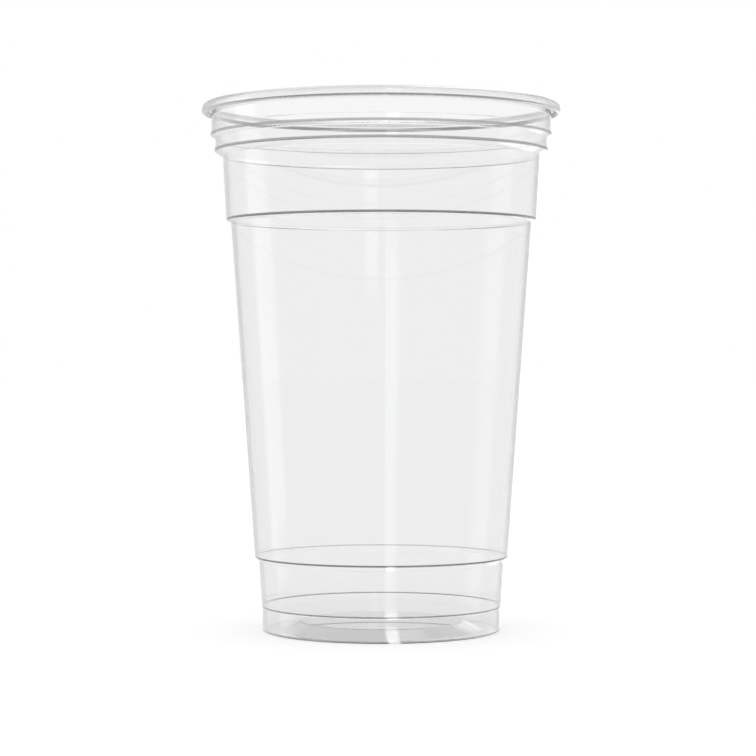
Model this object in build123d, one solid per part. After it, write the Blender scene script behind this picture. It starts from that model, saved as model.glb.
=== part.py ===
from build123d import *
import os

# A clear plastic disposable cup, formed in one piece from thin sheet.
#
# The sheet rises from a foot ring, steps outwards at a low ring and at three rings
# near the mouth, and is rolled outwards and under at the rim. Millimetres, +Z up,
# with the origin on the axis at the plane that the foot ring stands on.

os.makedirs("parts", exist_ok=True)

# Overall sizes
height = 143.5
rim_diameter = 98.0       # over the rolled rim
base_diameter = 64.9      # over the upright band at the foot
sheet = 0.3               # thickness of the formed sheet

# Rolled rim, outwards from the inside of the neck
roll_width = 2.95
roll_depth = 2.8          # from the crest down to the underside of the roll
roll_under_radius = 0.9   # where the roll turns back up to its cut edge

# Foot: a flat ring, inside it a sloping flank, and inside that a raised panel
foot_width = 5.05         # from the outside of the foot inwards
flank_width = 5.4
panel_rise = 2.3

# Heights above the foot
ledge_height = 6.4
ledge_rise = 0.4
ledge_width = 0.25
low_ring_height = 19.0
low_ring_rise = 1.3
low_ring_width = 1.15
low_band_flare = 0.75     # how much the band below the low ring opens upwards

# Depths below the crest of the rim
lid_ring_depth = 8.5
lid_ring_drop = 1.1
lid_ring_width = 1.4
stack_ring_depth = 12.8
stack_ring_drop = 1.5
stack_ring_width = 2.35
grip_ring_depth = 31.55
grip_ring_drop = 0.75
grip_ring_width = 1.3
shoulder_bulge = 0.35     # how far the top edge of a ring stands out from its band
bulge_height = 1.8
grip_band_flare = 0.95    # how much the band above the grip ring opens upwards

# Bends of the outside face
hollow_bend = 0.35        # corners that turn outwards, where the outside is the tight side
inside_bend = 0.3         # of the inside face, at corners that turn upwards
corner_bend = sheet + inside_bend
panel_bend = 1.2
soft_bend = 1.5


def outside_face():
    """Corners of the outside face from the axis to the neck, each with its bend radius."""
    base_radius = base_diameter / 2
    flank_radius = base_radius - foot_width
    panel_radius = flank_radius - flank_width
    neck_radius = rim_diameter / 2 - roll_width + sheet
    lid_band_radius = neck_radius - lid_ring_width + shoulder_bulge
    stack_radius = lid_band_radius + shoulder_bulge
    low_band_radius = base_radius + ledge_width
    low_ring_radius = low_band_radius + low_band_flare

    lid_ring = height - lid_ring_depth
    stack_ring = height - stack_ring_depth
    grip_ring = height - grip_ring_depth
    grip_top_radius = stack_radius - stack_ring_width
    grip_radius = grip_top_radius - grip_band_flare

    return [
        (0, panel_rise, None),
        (panel_radius, panel_rise, panel_bend),
        (flank_radius, 0, corner_bend),
        (base_radius, 0, corner_bend),
        (base_radius, ledge_height, hollow_bend),
        (low_band_radius, ledge_height + ledge_rise, corner_bend),
        (low_ring_radius, low_ring_height, hollow_bend),
        (low_ring_radius + low_ring_width, low_ring_height + low_ring_rise, corner_bend),
        (grip_radius - grip_ring_width, grip_ring - grip_ring_drop, hollow_bend),
        (grip_radius, grip_ring, corner_bend),
        (grip_top_radius, stack_ring - stack_ring_drop, hollow_bend),
        (stack_radius, stack_ring, corner_bend),
        (lid_band_radius, stack_ring + bulge_height, soft_bend),
        (lid_band_radius, lid_ring - lid_ring_drop, hollow_bend),
        (neck_radius + shoulder_bulge, lid_ring, corner_bend),
        (neck_radius, lid_ring + bulge_height, soft_bend),
        (neck_radius, height - roll_width / 2, None),
    ]


def rim_roll():
    """The outside face over the crest, down, and under to the cut edge."""
    over = roll_width / 2 - sheet
    under = roll_under_radius - sheet
    outer = rim_diameter / 2 - sheet
    crest = height - roll_width / 2
    turn = height - roll_depth + roll_under_radius
    CenterArc((outer - over, crest), over, 180, -180)
    Line((outer, crest), (outer, turn))
    CenterArc((outer - under, turn), under, 0, -180)


corners = outside_face()
with BuildPart() as cup:
    with BuildSketch(Plane.XZ):
        with BuildLine():
            FilletPolyline(
                *[(radius, level) for radius, level, _ in corners],
                radius=[bend for _, _, bend in corners[1:-1]],
            )
            rim_roll()
            offset(amount=sheet, side=Side.LEFT)
        make_face()
    revolve(axis=Axis.Z)

export_step(cup.part, "parts/cup.step")
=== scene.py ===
import math
from typing import NamedTuple

import bpy
from bpy.props import FloatProperty, FloatVectorProperty, IntProperty
from mathutils import Matrix, Vector


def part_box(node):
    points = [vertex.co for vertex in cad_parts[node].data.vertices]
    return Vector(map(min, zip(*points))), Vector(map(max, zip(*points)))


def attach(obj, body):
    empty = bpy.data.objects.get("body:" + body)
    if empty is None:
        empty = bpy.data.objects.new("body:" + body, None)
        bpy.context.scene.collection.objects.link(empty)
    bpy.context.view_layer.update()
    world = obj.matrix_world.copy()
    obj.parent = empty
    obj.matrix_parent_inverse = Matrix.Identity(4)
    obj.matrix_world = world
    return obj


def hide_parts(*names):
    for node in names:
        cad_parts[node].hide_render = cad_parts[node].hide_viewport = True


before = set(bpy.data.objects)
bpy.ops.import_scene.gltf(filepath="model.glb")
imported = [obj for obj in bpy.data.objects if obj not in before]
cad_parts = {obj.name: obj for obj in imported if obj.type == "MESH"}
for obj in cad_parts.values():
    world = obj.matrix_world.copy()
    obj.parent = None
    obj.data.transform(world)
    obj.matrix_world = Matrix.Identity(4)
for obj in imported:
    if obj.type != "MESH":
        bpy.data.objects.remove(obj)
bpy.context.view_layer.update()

bl_info = {
    "name": "Clear cold cup",
    "version": (1, 0, 0),
    "blender": (4, 5, 0),
    "location": "3D View > Sidebar > Cup",
    "description": "Forms a clear plastic cold cup from one sheet and sets it on a plain stage",
    "category": "Object",
}

CUP_LOW, CUP_HIGH = (Vector(corner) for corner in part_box("cup"))
CUP_HEIGHT = CUP_HIGH.z - CUP_LOW.z
RIM_RADIUS = min(CUP_HIGH.x, CUP_HIGH.y, -CUP_LOW.x, -CUP_LOW.y)

WHITE = (1.0, 1.0, 1.0, 1.0)
# Limits of the painted shade at the folds: a fold marked less gets none, one marked more the full dark
# line
NO_MARK, FULL_MARK = 0.1, 0.9           # a fold marked less is clear, and one marked more is dark


def length(name, default, description):
    """A size in metres."""
    return FloatProperty(
        name=name, description=description, default=default, min=0.0, precision=5,
        unit="LENGTH", subtype="DISTANCE",
    )


def angle(name, degrees, description):
    """An angle, given in degrees."""
    return FloatProperty(
        name=name, description=description, default=math.radians(degrees), subtype="ANGLE"
    )


def share(name, default, description, high=1.0):
    """A plain number."""
    return FloatProperty(name=name, description=description, default=default, min=0.0, max=high)


def colour(name, default, description):
    """A linear colour."""
    return FloatVectorProperty(
        name=name, description=description, default=default, min=0.0, max=1.0, subtype="COLOR"
    )


# ---------------------------------------------------------------------------
# Sizes and finishes
# ---------------------------------------------------------------------------


class CupSizes(bpy.types.PropertyGroup):
    """The sheet's outline, from the panel in the base to the cut edge under the rim."""

    height: length("Height", CUP_HEIGHT, "From the foot to the crest of the rim")
    rim_radius: length("Rim radius", RIM_RADIUS, "Over the rolled rim")
    base_radius: length("Base radius", 0.03245, "Over the upright band at the foot")
    sheet: length("Sheet", 0.0003, "Thickness of the formed sheet")

    roll_width: length("Roll width", 0.00295, "From the inside of the neck out over the roll")
    roll_depth: length("Roll depth", 0.0028, "From the crest to the underside of the roll")
    roll_under: length("Roll under", 0.0009, "Radius of the turn back up to the cut edge")

    foot_width: length("Foot width", 0.00505, "The flat ring that the cup stands on")
    flank_width: length("Flank width", 0.0054, "The slope between the foot and the panel")
    panel_rise: length("Panel rise", 0.0023, "How far the base panel stands above the foot")

    ledge_height: length("Ledge height", 0.0064, "Top of the upright band at the foot")
    ledge_rise: length("Ledge rise", 0.0004, "How tall the fine ledge is")
    ledge_width: length("Ledge width", 0.00025, "How far the fine ledge stands out")
    low_ring_height: length("Low ring height", 0.019, "Bottom of the low ring")
    low_ring_rise: length("Low ring rise", 0.0013, "How tall the low ring's shoulder is")
    low_ring_width: length("Low ring width", 0.00115, "How far the low ring stands out")
    low_band_flare: length("Low band flare", 0.00075, "How much the band under the low ring opens")

    lid_ring_depth: length("Lid ring depth", 0.0085, "Lid ring, below the crest")
    lid_ring_drop: length("Lid ring drop", 0.0011, "How tall the lid ring's shoulder is")
    lid_ring_width: length("Lid ring width", 0.0014, "How far the lid ring steps in")
    stack_ring_depth: length("Stack ring depth", 0.0128, "Stacking ring, below the crest")
    stack_ring_drop: length("Stack ring drop", 0.0015, "How tall the stacking shoulder is")
    stack_ring_width: length("Stack ring width", 0.00235, "How far the stacking ring steps in")
    grip_ring_depth: length("Grip ring depth", 0.03155, "Grip ring, below the crest")
    grip_ring_drop: length("Grip ring drop", 0.00075, "How tall the grip ring's shoulder is")
    grip_ring_width: length("Grip ring width", 0.0013, "How far the grip ring steps in")
    shoulder_bulge: length("Shoulder bulge", 0.00035, "How far a ring's top edge stands out")
    bulge_height: length("Bulge height", 0.0018, "How soon the bulge is gone again")
    grip_band_flare: length("Grip band flare", 0.00095, "How much the upper band opens")

    hollow_bend: length("Hollow bend", 0.00035, "Bends with their tight side outside")
    corner_bend: length("Corner bend", 0.0006, "Bends with their tight side inside")
    panel_bend: length("Panel bend", 0.0012, "Edge of the base panel")
    soft_bend: length("Soft bend", 0.0015, "Ends of the bulges")

    segments: IntProperty(name="Segments", description="Faces round the cup", default=256, min=32)
    arc_step: angle("Arc step", 12.0, "Largest turn from one row of a bend to the next")
    rest_row: length("Rest row", 0.00025, "Row of faces that keeps a straight wall straight")
    weld: length("Weld", 1e-7, "Points nearer than this become one")
    sharp_angle: angle("Sharp angle", 40.0, "Edges that turn more stay sharp")


class CupFinish(bpy.types.PropertyGroup):
    """The clear plastic."""

    tint: colour("Tint", (0.93, 0.932, 0.933), "What the sheet lets through")
    # Painted shade: near-black colour for the dark lines drawn at the folds, in place of refraction
    # shade
    fold_painted_shade: colour("Fold painted shade", (0.07, 0.072, 0.075), "What it lets through at a tight fold")
    base_tint: colour("Base tint", (0.87, 0.873, 0.875), "What the thicker base lets through")
    ior: FloatProperty(name="IOR", description="Of clear polyester", default=1.575, min=1.0)
    roughness: share("Roughness", 0.012, "Of the walls, where the sheet is stretched")
    foggy: share("Foggy", 0.05, "Added where the sheet was folded or chilled")
    marks_round: share("Marks round", 420.0, "Draw marks to a metre round the cup", 2000.0)
    marks_up: share("Marks up", 18.0, "Draw marks to a metre up the wall", 2000.0)
    marks_depth: length("Marks depth", 0.000004, "Depth of the draw marks")
    mottle: share("Mottle", 90.0, "Specks to a metre in the gloss", 2000.0)
    mottle_share: share("Mottle share", 0.4, "Depth of the specks, of that of the draw marks")


class StageLook(bpy.types.PropertyGroup):
    """Camera, floor, light and the white all round."""

    eye_distance: length("Eye distance", 0.6383, "Camera to the cup's axis")
    eye_height: length("Eye height", 0.07525, "Camera above the floor")
    aim_x: FloatProperty(name="Aim across", description="Aim, along X", default=-0.00095)
    aim_z: length("Aim height", 0.0689, "Aim, above the floor")
    lens: FloatProperty(name="Lens", description="Focal length in mm", default=111.09)
    sensor: FloatProperty(name="Sensor", description="Sensor width in mm", default=36.0)
    nearest: length("Nearest", 0.01, "What is nearer to the camera isn't shown")
    furthest: length("Furthest", 50.0, "What is further from the camera isn't shown")
    floor_gap: length("Floor gap", 0.00002, "Keeps the floor clear of the foot")
    floor_size: length("Floor size", 12.0, "Side of the floor")
    floor_tone: share("Floor tone", 0.5, "How much of the light the floor gives back")
    floor_lift: share("Floor lift", 0.5, "Added white, as it shows through the plastic")
    floor_glow: share("Floor glow", 0.1, "More of it where nothing is in front")
    glow: share("Glow", 3.0, "The front lamp on the floor by the foot, in reflections", 8.0)
    glow_width: angle("Glow width", 6.0, "Half the width of that glow")
    glow_from: length("Glow from", 0.026, "Where the glow starts to fade, off the foot")
    glow_to: length("Glow to", 0.042, "Where the glow is gone")
    room_light: share("Room light", 1.0, "Soft light from all round", 4.0)
    room_mirrored: share("Room mirrored", 0.9, "How bright the room is in reflections")
    ceiling: share("Ceiling", 0.5, "How bright the ceiling is through the plastic")
    ceiling_from: angle("Ceiling from", 10.0, "Where the ceiling starts to darken")
    ceiling_to: angle("Ceiling to", 35.0, "Where it is as dark as it gets")
    strip_light: share("Strip light", 1.0, "How bright the strip lamps are in reflections", 4.0)


# ---------------------------------------------------------------------------
# Node trees
# ---------------------------------------------------------------------------


class Value:
    """A number in a node tree that takes part in arithmetic."""

    def __init__(self, tree, socket):
        self.tree = tree
        self.socket = socket

    def maths(self, operation, first, second=0.0):
        return self.tree.add("ShaderNodeMath", {"operation": operation}, first, second)

    def __add__(self, other):
        return self.maths("ADD", self, other)

    def __sub__(self, other):
        return self.maths("SUBTRACT", self, other)

    def __rsub__(self, other):
        return self.maths("SUBTRACT", other, self)

    def __mul__(self, other):
        return self.maths("MULTIPLY", self, other)

    def __truediv__(self, other):
        return self.maths("DIVIDE", self, other)

    def __pow__(self, other):
        return self.maths("POWER", self, other)

    def __gt__(self, other):
        return self.maths("GREATER_THAN", self, other)

    def __lt__(self, other):
        return self.maths("LESS_THAN", self, other)

    __radd__ = __add__
    __rmul__ = __mul__

    def floor(self):
        return self.maths("FLOOR", self)

    def absolute(self):
        return self.maths("ABSOLUTE", self)

    def at_most(self, other):
        return self.maths("MINIMUM", self, other)

    def degrees_up(self):
        """The slope, in degrees, of a way that rises by this much of its length."""
        return self.maths("ARCSINE", self) * math.degrees(1.0)

    def degrees_round(self, ahead):
        """The turn, in degrees, of a way that goes this far to the right and so far ahead."""
        return self.maths("ARCTAN2", self, ahead) * math.degrees(1.0)

    def between(self, low, high):
        """0 below low, 1 above high, and smooth between them."""
        return self.tree.add(
            "ShaderNodeMapRange", {"interpolation_type": "SMOOTHSTEP"}, self, low, high, 0.0, 1.0
        )


class Tree:
    """A node tree that is built one node at a time."""

    def __init__(self, node_tree):
        self.tree = node_tree
        self.tree.nodes.clear()

    def node(self, kind, settings=None, values=(), **named):
        """A node of that type: its settings first, then its sockets, by place or by name."""
        made = self.tree.nodes.new(kind)
        for setting, value in (settings or {}).items():
            setattr(made, setting, value)
        for place, value in list(enumerate(values)) + list(named.items()):
            key = place if isinstance(place, int) else place.replace("_", " ")
            self.give(made.inputs[key], value)
        return made

    def give(self, socket, value):
        """A link to the socket, or the value that it holds."""
        if isinstance(value, Value):
            self.tree.links.new(value.socket, socket)
        elif value is not None:
            socket.default_value = value

    def add(self, kind, settings=None, *values, out=0, **named):
        """The chosen output of a new node, as a value."""
        return self.pick(self.node(kind, settings, values, **named), out)

    def pick(self, node, out=0):
        return Value(self, node.outputs[out])

    def mix_colour(self, factor, first, second):
        """The first colour at 0, the second at 1."""
        return self.add(
            "ShaderNodeMixRGB", {"blend_type": "MIX"}, Fac=factor, Color1=first, Color2=second
        )


# ---------------------------------------------------------------------------
# The sheet's outline
# ---------------------------------------------------------------------------


class Corner(NamedTuple):
    """A corner of the sheet's outside face.

    Each pair says how dark the painted shade line along its bend is at its start and at its end,
    on the outside face and on the inside one.
    """

    radius: float
    level: float
    bend: float = 0.0
    outside: tuple = (0.0, 0.0)
    inside: tuple = (0.0, 0.0)


def outline_corners(size):
    """The sheet's corners, from the middle of the base to the cut edge under the rim."""
    flank = size.base_radius - size.foot_width
    panel = flank - size.flank_width
    neck = size.rim_radius - size.roll_width + size.sheet
    lid_band = neck - size.lid_ring_width + size.shoulder_bulge
    stack = lid_band + size.shoulder_bulge
    low_band = size.base_radius + size.ledge_width
    low_ring_foot = low_band + size.low_band_flare
    low_ring = low_ring_foot + size.low_ring_width
    grip_top = stack - size.stack_ring_width
    grip = grip_top - size.grip_band_flare
    grip_foot = grip - size.grip_ring_width
    outer = size.rim_radius - size.sheet
    tucked = outer - 2 * (size.roll_under - size.sheet)

    low_ring_level = size.low_ring_height + size.low_ring_rise
    lid_level = size.height - size.lid_ring_depth
    stack_level = size.height - size.stack_ring_depth
    grip_level = size.height - size.grip_ring_depth
    crest = size.height - size.sheet
    underside = size.height - size.roll_depth + size.sheet

    over_bend = (outer - neck) / 2
    under_bend = size.roll_under - size.sheet
    hollow, bend, soft = size.hollow_bend, size.corner_bend, size.soft_bend
    return [
        Corner(0.0, size.panel_rise),
        Corner(panel, size.panel_rise, size.panel_bend, (0.3, 0.3), (0.35, 0.35)),
        Corner(flank, 0.0, bend, (0.4, 0.4), (0.3, 0.3)),
        Corner(size.base_radius, 0.0, bend, (0.9, 0.6), (0.2, 0.2)),
        Corner(size.base_radius, size.ledge_height, hollow),
        Corner(low_band, size.ledge_height + size.ledge_rise, bend, (0.75, 0.75), (0.9, 0.9)),
        Corner(low_ring_foot, size.low_ring_height, hollow),
        Corner(low_ring, low_ring_level, bend, (0.9, 0.9), (0.6, 0.6)),
        Corner(grip_foot, grip_level - size.grip_ring_drop, hollow),
        Corner(grip, grip_level, bend, (0.9, 0.9), (0.3, 0.3)),
        Corner(grip_top, stack_level - size.stack_ring_drop, hollow),
        Corner(stack, stack_level, bend, (0.72, 0.72), (0.2, 0.2)),
        Corner(lid_band, stack_level + size.bulge_height, soft),
        Corner(lid_band, lid_level - size.lid_ring_drop, hollow),
        Corner(neck + size.shoulder_bulge, lid_level, bend, (0.65, 0.65), (0.3, 0.3)),
        Corner(neck, lid_level + size.bulge_height, soft),
        Corner(neck, crest, over_bend, (0.0, 0.0), (0.5, 0.0)),
        Corner(outer, crest, over_bend),
        Corner(outer, underside, under_bend, (0.0, 1.0)),
        Corner(tucked, underside, under_bend, (1.0, 1.0), (1.0, 1.0)),
        Corner(tucked, underside + under_bend),
    ]


def outline_rows(size):
    """Rows of the outside face: place, way in through the sheet, and the folds' two painted shade
    marks.
    """
    corners = outline_corners(size)
    points = [Vector((corner.radius, corner.level)) for corner in corners]
    ways = [(after - before).normalized() for before, after in zip(points, points[1:])]
    turns = [0.0] + [come.angle_signed(leave) for come, leave in zip(ways, ways[1:])] + [0.0]
    reaches = [corner.bend * math.tan(abs(turn) / 2) for corner, turn in zip(corners, turns)]
    rows = []

    def add_row(place, along, marks=(0.0, 0.0)):
        rows.append((place, Vector((-along.y, along.x)), marks))

    for number, (corner, point) in enumerate(zip(corners, points)):
        turn, reach = turns[number], reaches[number]
        if corner.bend:
            come, side = ways[number - 1], math.copysign(corner.bend, -turn)
            centre = point - come * reach + Vector((-come.y, come.x)) * side
            steps = max(3, math.ceil(abs(turn) / size.arc_step))
            for step in range(steps + 1):
                along = come.copy()
                along.rotate(Matrix.Rotation(-turn * step / steps, 2))
                place = centre - Vector((-along.y, along.x)) * side
                add_row(place, along, [
                    first + (last - first) * step / steps
                    for first, last in (corner.outside, corner.inside)
                ])
        else:
            add_row(point, ways[min(number, len(ways) - 1)])
        if number == len(points) - 1:
            break
        along, following = ways[number], points[number + 1]
        straight = (following - point).length - reach - reaches[number + 1]
        if straight > 3 * size.rest_row:        # else the two rows would meet or cross
            add_row(point + along * (reach + size.rest_row), along)
            add_row(following - along * (reaches[number + 1] + size.rest_row), along)
    least = size.sheet / 100        # rows nearer than this to the one before are the same row
    return [
        row for row, before in zip(rows, [None] + rows)
        if before is None or (row[0] - before[0]).length > least
    ]


def outline_object(size):
    """The outline as a chain of points in the XZ plane, for the lathe to turn."""
    rows = outline_rows(size)
    mesh = bpy.data.meshes.new("cup_outline")
    mesh.from_pydata(
        [(place.x, 0.0, place.y) for place, _, _ in rows],
        [(row, row + 1) for row in range(len(rows) - 1)], [],
    )
    inward = mesh.attributes.new("inward", "FLOAT_VECTOR", "POINT")
    for row, (_, way, _) in enumerate(rows):
        inward.data[row].vector = (way.x, 0.0, way.y)
    # The fold marks: how dark the painted shade line is at each row, on the outside face and the inside
    # one.
    for side, name in enumerate(("fold_outside", "fold_inside")):
        fold = mesh.attributes.new(name, "FLOAT", "POINT")
        for row, (_, _, marks) in enumerate(rows):
            fold.data[row].value = marks[side]
    made = bpy.data.objects.new("clear_cup", mesh)
    bpy.context.scene.collection.objects.link(made)
    return made


# ---------------------------------------------------------------------------
# The lathe
# ---------------------------------------------------------------------------


def lathe_tree():
    """Geometry nodes that turn the outline into a closed sheet of one thickness."""
    group = bpy.data.node_groups.new("Sheet lathe", "GeometryNodeTree")
    face = group.interface
    face.new_socket("Outline", in_out="INPUT", socket_type="NodeSocketGeometry")
    face.new_socket("Sheet", in_out="INPUT", socket_type="NodeSocketFloat")
    face.new_socket("Segments", in_out="INPUT", socket_type="NodeSocketInt")
    face.new_socket("Weld", in_out="INPUT", socket_type="NodeSocketFloat")
    face.new_socket("Sharp angle", in_out="INPUT", socket_type="NodeSocketFloat")
    face.new_socket("Material", in_out="INPUT", socket_type="NodeSocketMaterial")
    face.new_socket("Cup", in_out="OUTPUT", socket_type="NodeSocketGeometry")

    t = Tree(group)
    inputs = t.node("NodeGroupInput")
    outline, sheet, segments, weld, sharp, material = (t.pick(inputs, n) for n in range(6))

    rows = t.add("GeometryNodeAttributeDomainSize", {"component": "MESH"}, outline)
    grid = t.add("GeometryNodeMeshGrid", None, 1.0, 1.0, rows * 2, segments + 1)
    index = t.add("GeometryNodeInputIndex")
    rounding = 1e-4         # keeps a whole number from being rounded down to the one below
    row = (index / (segments + 1) + rounding).floor()
    column = index - row * (segments + 1)
    inside = row > rows - 0.5
    source = row + inside * (rows * 2 - 1 - row * 2)

    def sampled(kind, field):
        return t.add(
            "GeometryNodeSampleIndex", {"data_type": kind, "domain": "POINT"},
            Geometry=outline, Value=field, Index=source,
        )

    def stored(kind, name):
        return t.add("GeometryNodeInputNamedAttribute", {"data_type": kind}, name)

    place = sampled("FLOAT_VECTOR", t.add("GeometryNodeInputPosition"))
    inward = sampled("FLOAT_VECTOR", stored("FLOAT_VECTOR", "inward"))
    shift = t.add("ShaderNodeVectorMath", {"operation": "SCALE"}, inward, Scale=inside * sheet)
    section = t.add("ShaderNodeVectorMath", {"operation": "ADD"}, place, shift)
    turned = t.add(
        "ShaderNodeVectorRotate", {"rotation_type": "Z_AXIS"},
        Vector=section, Angle=column / segments * math.tau,
    )

    # The fold marks set how dark the painted shade lines at the folds are, and how foggy the folds are.
    outside_fold, inside_fold = (
        sampled("FLOAT", stored("FLOAT", name)) for name in ("fold_outside", "fold_inside")
    )
    cup = t.add("GeometryNodeSetPosition", None, grid, Position=turned)
    cup = t.add(
        "GeometryNodeStoreNamedAttribute", {"data_type": "FLOAT", "domain": "POINT"},
        cup, Name="fold", Value=outside_fold + inside * (inside_fold - outside_fold),
    )
    cup = t.add("GeometryNodeMergeByDistance", None, cup, Distance=weld)
    cup = t.add("GeometryNodeFlipFaces", None, cup)
    smooth = t.add("GeometryNodeInputMeshEdgeAngle") < sharp
    cup = t.add("GeometryNodeSetShadeSmooth", {"domain": "EDGE"}, cup, Shade_Smooth=smooth)
    cup = t.add("GeometryNodeRealizeInstances", None, cup)
    cup = t.add("GeometryNodeSetMaterial", None, cup, Material=material)
    t.node("NodeGroupOutput", None, [cup])
    return group


def set_inputs(modifier, **values):
    """Sets a nodes modifier's inputs by the identifiers of their sockets."""
    for item in modifier.node_group.interface.items_tree:
        key = item.name.replace(" ", "_").lower()
        if item.in_out == "INPUT" and key in values:
            modifier[item.identifier] = values[key]


def as_plain_mesh(made, name):
    """Swaps an object's modifiers for their result, as a mesh of that name."""
    view = bpy.context.evaluated_depsgraph_get()
    mesh = bpy.data.meshes.new_from_object(made.evaluated_get(view))
    made.modifiers.clear()
    made.data, outline = mesh, made.data
    bpy.data.meshes.remove(outline)
    mesh.name = name


# ---------------------------------------------------------------------------
# Materials
# ---------------------------------------------------------------------------


def clear_plastic(size, finish):
    """Clear polyester: glossy, a little foggy at its folds, painted shade lines there, faint draw
    marks.
    """
    material = bpy.data.materials.new("clear_plastic")
    material.use_nodes = True
    t = Tree(material.node_tree)
    where = t.pick(t.node("ShaderNodeTexCoord"), "Object")
    split = t.node("ShaderNodeSeparateXYZ", None, [where])
    across, depth, level = (t.pick(split, axis) for axis in "XYZ")
    fold = t.pick(t.node("ShaderNodeAttribute", {"attribute_name": "fold"}), "Fac")

    # Draw marks run up the wall, so their noise is squeezed along Z.
    squeeze = (finish.marks_round, finish.marks_round, finish.marks_up)
    drawn = t.add("ShaderNodeMapping", None, where, Scale=squeeze)
    marks = t.add("ShaderNodeTexNoise", None, drawn, Scale=1.0, Detail=3.0, Roughness=0.55)
    mottle = t.add("ShaderNodeTexNoise", None, where, Scale=finish.mottle, Detail=4.0, Roughness=0.6)
    walls = level.between(size.ledge_height, size.low_ring_height)

    # The mottle is about a half on average, so the folds are as foggy as stated.
    fogged = finish.foggy * fold * (0.5 + mottle)
    rough = finish.roughness + finish.roughness * mottle + fogged
    bump = t.add(
        "ShaderNodeBump", None, Strength=1.0, Distance=finish.marks_depth,
        Height=marks * walls + finish.mottle_share * mottle,
    )
    facing = 1.0 - t.pick(t.node("ShaderNodeNewGeometry"), "Backfacing")
    from_axis = (across ** 2.0 + depth ** 2.0) ** 0.5
    inside_band = 1.0 - from_axis.between(
        size.base_radius - 2 * size.corner_bend, size.base_radius - size.corner_bend
    )
    base = inside_band * (1.0 - level.between(size.panel_rise, size.panel_rise + size.panel_bend))
    wall = t.mix_colour(base, (*finish.tint, 1.0), (*finish.base_tint, 1.0))
    # The painted fold shade goes only on faces hit from the air, so a fold's far face adds no second
    # line.
    dark = fold.between(NO_MARK, FULL_MARK) * facing
    # Painted shade: the near-black fold colour mixed in as dark lines along the folds.
    clear = t.mix_colour(dark, wall, (*finish.fold_painted_shade, 1.0))
    shader = t.add(
        "ShaderNodeBsdfPrincipled", None, Base_Color=clear, Roughness=rough,
        IOR=finish.ior, Transmission_Weight=1.0, Normal=bump,
    )
    t.node("ShaderNodeOutputMaterial", None, [shader])
    return material


class Strip(NamedTuple):
    """A strip lamp as the plastic mirrors it, in degrees."""

    azimuth: float      # round from the front towards the right
    half_width: float
    low: float          # lowest edge, above the horizon
    high: float
    strength: float


FRONT_LAMP = 8.3        # azimuth of the lamp in front, whose glow also lies on the floor
STRIPS = (
    Strip(FRONT_LAMP, 5.0, -16.0, -5.0, 0.6),
    Strip(FRONT_LAMP, 5.0, 9.8, 60.0, 0.9),
    Strip(-104.0, 12.0, -9.5, 60.0, 0.5),
    Strip(170.0, 5.0, -16.0, 60.0, 0.6),
    Strip(35.0, 6.0, -60.0, -18.0, 0.6),
    Strip(155.0, 6.0, -60.0, -18.0, 0.6),
    Strip(-85.0, 8.0, -60.0, -18.0, 0.6),
)
STRIP_CORE, STRIP_REACH = 0.7, 1.2      # where a strip starts to fade and ends, in half widths
STRIP_END = 1.0                         # degrees over which its two ends fade


def front_glow(t, size, stage):
    """How bright the front lamp's glow is over the floor: a fan that ends near the foot.

    The upright foot fans out what it mirrors as if from half its radius off the axis.
    """
    split = t.node("ShaderNodeSeparateXYZ", None, [t.pick(t.node("ShaderNodeTexCoord"), "Object")])
    across, depth = t.pick(split, "X"), t.pick(split, "Y")
    turn = math.radians(FRONT_LAMP / 2)
    right = across - math.sin(turn) * size.base_radius / 2
    forward = -math.cos(turn) * size.base_radius / 2 - depth
    off = (right.degrees_round(forward) - FRONT_LAMP).absolute()
    width = math.degrees(stage.glow_width)
    sides = off.between(width * STRIP_CORE, width * STRIP_REACH)
    from_axis = (across ** 2.0 + depth ** 2.0) ** 0.5
    end = from_axis.between(size.base_radius + stage.glow_from, size.base_radius + stage.glow_to)
    return stage.glow * (1.0 - sides) * (1.0 - end)


def floor_material(size, stage):
    """A pale matt floor that keeps the cup's shadow."""
    material = bpy.data.materials.new("pale_floor")
    material.use_nodes = True
    t = Tree(material.node_tree)
    rays = t.node("ShaderNodeLightPath")
    tone = (stage.floor_tone,) * 3 + (1.0,)
    camera = t.pick(rays, "Is Camera Ray")
    seen = camera * (stage.floor_lift + stage.floor_glow) + (
        t.pick(rays, "Is Transmission Ray") * (1 - camera) * stage.floor_lift
    )
    matt = t.add("ShaderNodeBsdfDiffuse", None, tone)
    lift = t.add("ShaderNodeEmission", None, WHITE, seen)
    floor = t.add("ShaderNodeAddShader", None, matt, lift)
    # The plastic mirrors the room and its lamps rather than the floor, apart from the glow on it.
    mirrored = t.pick(rays, "Glossy Depth").at_most(1.0)
    gone = t.add(
        "ShaderNodeAddShader", None, t.add("ShaderNodeBsdfTransparent"),
        t.add("ShaderNodeEmission", None, WHITE, front_glow(t, size, stage)),
    )
    shader = t.add("ShaderNodeMixShader", None, mirrored, floor, gone)
    t.node("ShaderNodeOutputMaterial", None, [shader])
    return material


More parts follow.
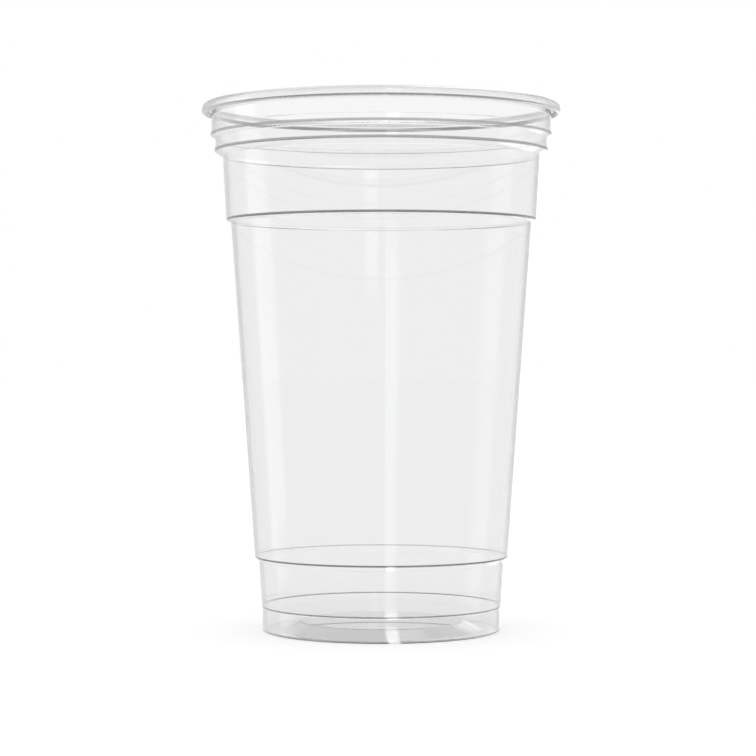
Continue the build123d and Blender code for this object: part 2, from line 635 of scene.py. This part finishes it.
def room(stage):
    """White behind the cup, soft light all round, and a dimmer room with strip lamps in reflections."""
    world = bpy.data.worlds.new("room")
    world.use_nodes = True
    t = Tree(world.node_tree)
    rays = t.node("ShaderNodeLightPath")
    toward = t.pick(t.node("ShaderNodeTexCoord"), "Generated")
    way = t.node("ShaderNodeSeparateXYZ", None, [toward])
    across, depth, up = (t.pick(way, axis) for axis in "XYZ")
    round_from_front = across.degrees_round(0.0 - depth)
    above = up.degrees_up()

    camera, diffuse = (t.pick(rays, f"Is {kind} Ray") for kind in ("Camera", "Diffuse"))
    mirrored = t.pick(rays, "Glossy Depth").at_most(1.0)
    strips = 0.0
    for strip in STRIPS:
        off = (round_from_front - strip.azimuth).absolute()
        off = off.at_most(360.0 - off)
        sides = off.between(strip.half_width * STRIP_CORE, strip.half_width * STRIP_REACH)
        foot = above.between(strip.low - STRIP_END, strip.low + STRIP_END)
        head = above.between(strip.high - STRIP_END, strip.high + STRIP_END)
        strips = strips + strip.strength * ((1.0 - sides) * foot * (1.0 - head))
    dark = above.between(math.degrees(stage.ceiling_from), math.degrees(stage.ceiling_to))
    seen_through = 1.0 - (1.0 - stage.ceiling) * dark
    seen_mirrored = stage.room_mirrored + strips * stage.strip_light
    seen = (1.0 - mirrored) * seen_through + mirrored * seen_mirrored
    level = camera + (1.0 - camera) * (diffuse * stage.room_light + (1.0 - diffuse) * seen)
    shade = t.add("ShaderNodeBackground", None, WHITE, level)
    t.node("ShaderNodeOutputWorld", None, [shade])
    return world


# ---------------------------------------------------------------------------
# Operators
# ---------------------------------------------------------------------------


class CUP_OT_form(bpy.types.Operator):
    """Form the cup from its outline and give it its clear plastic"""

    bl_idname = "cup.form"
    bl_label = "Form the cup"

    def execute(self, context):
        size, finish = context.scene.cup_sizes, context.scene.cup_finish
        cup = outline_object(size)
        lathe = cup.modifiers.new("Sheet lathe", "NODES")
        lathe.node_group = lathe_tree()
        set_inputs(
            lathe, sheet=size.sheet, segments=size.segments, weld=size.weld,
            sharp_angle=size.sharp_angle, material=clear_plastic(size, finish),
        )
        as_plain_mesh(cup, "clear_cup")
        if len(cup.data.polygons) < size.segments:
            raise RuntimeError("the lathe made no cup")
        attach(cup, "root")
        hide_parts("cup")
        return {"FINISHED"}


class CUP_OT_stage(bpy.types.Operator):
    """Set the floor, the room and the camera"""

    bl_idname = "cup.stage"
    bl_label = "Set the stage"

    def execute(self, context):
        scene, stage = context.scene, context.scene.cup_stage
        scene.view_settings.view_transform = "Standard"
        scene.world = room(stage)
        self.lay_floor(scene, scene.cup_sizes, stage)
        self.place_camera(scene, stage)
        return {"FINISHED"}

    def lay_floor(self, scene, size, stage):
        half, level = stage.floor_size / 2, CUP_LOW.z - stage.floor_gap
        mesh = bpy.data.meshes.new("floor")
        corners = [(-half, -half), (half, -half), (half, half), (-half, half)]
        mesh.from_pydata([(x, y, level) for x, y in corners], [], [(0, 1, 2, 3)])
        mesh.materials.append(floor_material(size, stage))
        floor = bpy.data.objects.new("floor", mesh)
        scene.collection.objects.link(floor)

    def place_camera(self, scene, stage):
        lens = bpy.data.cameras.new("camera")
        lens.lens, lens.sensor_width = stage.lens, stage.sensor
        lens.clip_start, lens.clip_end = stage.nearest, stage.furthest
        camera = bpy.data.objects.new("camera", lens)
        camera.location = (0.0, -stage.eye_distance, stage.eye_height)
        aim = Vector((stage.aim_x, 0.0, stage.aim_z))
        camera.rotation_euler = (aim - camera.location).to_track_quat("-Z", "Y").to_euler()
        scene.collection.objects.link(camera)
        scene.camera = camera


class CUP_PT_panel(bpy.types.Panel):
    """Lists the cup's operators and its sizes"""

    bl_label = "Clear cold cup"
    bl_space_type = "VIEW_3D"
    bl_region_type = "UI"
    bl_category = "Cup"

    def draw(self, context):
        layout = self.layout
        for operator in OPERATORS:
            layout.operator(operator.bl_idname)
        for group in (context.scene.cup_sizes, context.scene.cup_finish, context.scene.cup_stage):
            box = layout.box()
            for name in group.__annotations__:
                box.prop(group, name)


OPERATORS = (CUP_OT_form, CUP_OT_stage)
GROUPS = {"cup_sizes": CupSizes, "cup_finish": CupFinish, "cup_stage": StageLook}
CLASSES = (*GROUPS.values(), *OPERATORS, CUP_PT_panel)


def register():
    for cls in CLASSES:
        bpy.utils.register_class(cls)
    for name, group in GROUPS.items():
        setattr(bpy.types.Scene, name, bpy.props.PointerProperty(type=group))


def unregister():
    for name in GROUPS:
        delattr(bpy.types.Scene, name)
    for cls in reversed(CLASSES):
        bpy.utils.unregister_class(cls)


def main():
    register()
    bpy.ops.cup.form()
    bpy.ops.cup.stage()


if __name__ == "__main__":
    main()
